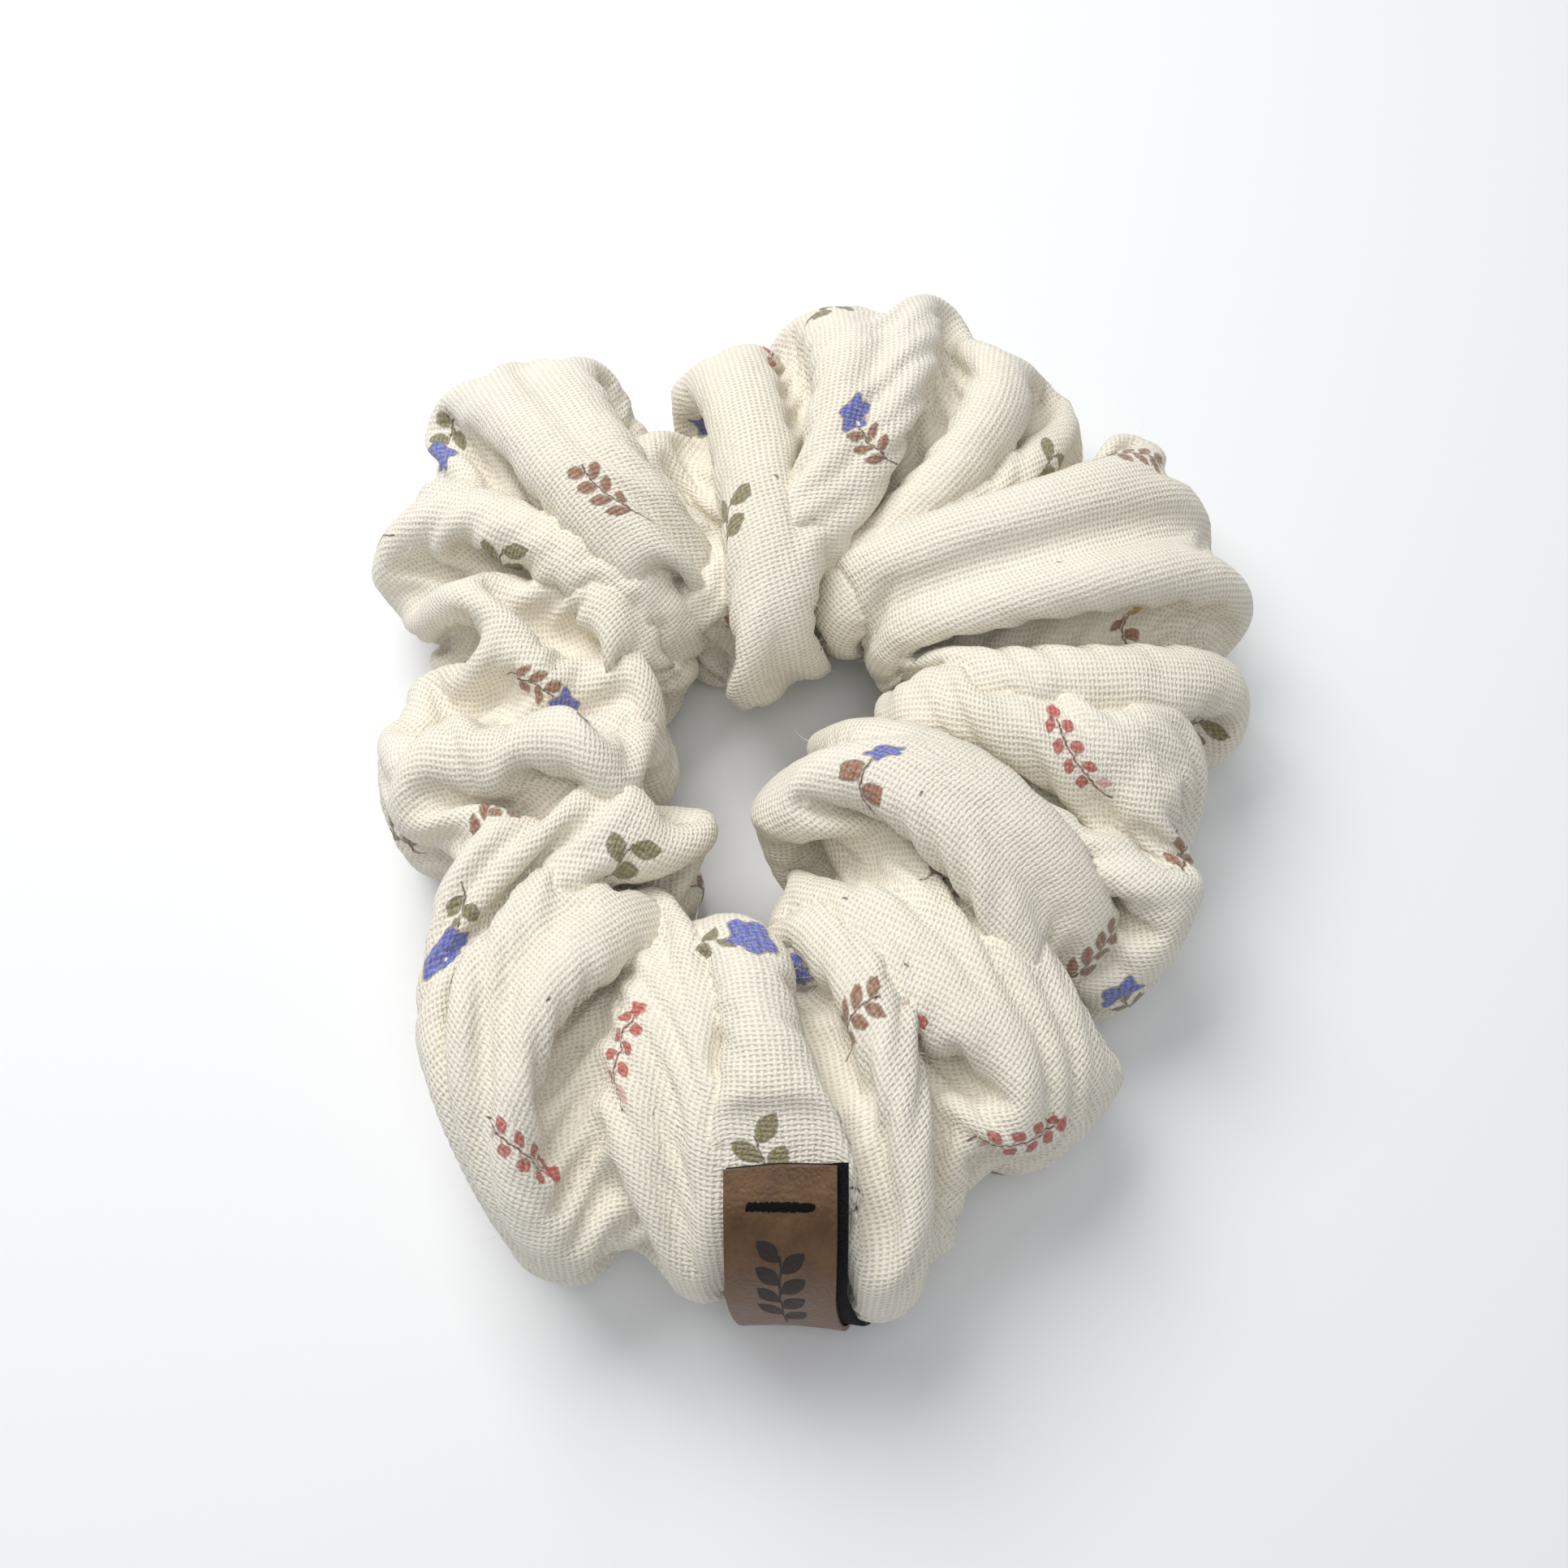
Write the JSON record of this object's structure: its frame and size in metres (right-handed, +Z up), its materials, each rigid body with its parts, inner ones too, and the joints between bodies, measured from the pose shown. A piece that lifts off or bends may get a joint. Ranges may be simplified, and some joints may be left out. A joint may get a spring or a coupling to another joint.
{
  "type": "scrunchie",
  "caption": "Gathered hair scrunchie of cream cotton double gauze with a small botanical print and a folded brown label.",
  "frame": {"origin": "centre of the bounding box's underside, on the surface that the scrunchie lies on", "axes": "+Z up, -Y towards the label at the front, +X to the right as seen from the label side"},
  "size_m": [0.1149, 0.1382, 0.0337],
  "materials": {
    "gauze": "matte",
    "elastic": "matte",
    "thread": "matte",
    "label_leather": "satin",
    "label_felt": "matte",
    "tack_thread": "satin"
  },
  "bodies": {
    "front": {"cover_front": "gauze", "elastic_front": "elastic", "seam_thread_front": "thread", "closing_thread": "thread", "label_face": "label_leather", "label_backing": "label_felt", "label_tack": "tack_thread"},
    "back": {"cover_back": "gauze", "elastic_back": "elastic", "elastic_overlap": "elastic", "overlap_stitches": "thread", "seam_thread_back": "thread"}
  },
  "joints": [
    {"name": "stretch", "type": "slide", "parent": "front", "child": "back", "axis": [0, 1, 0], "range_m": [0, 0.08], "stiffness_N_per_m": 75}
  ]
}
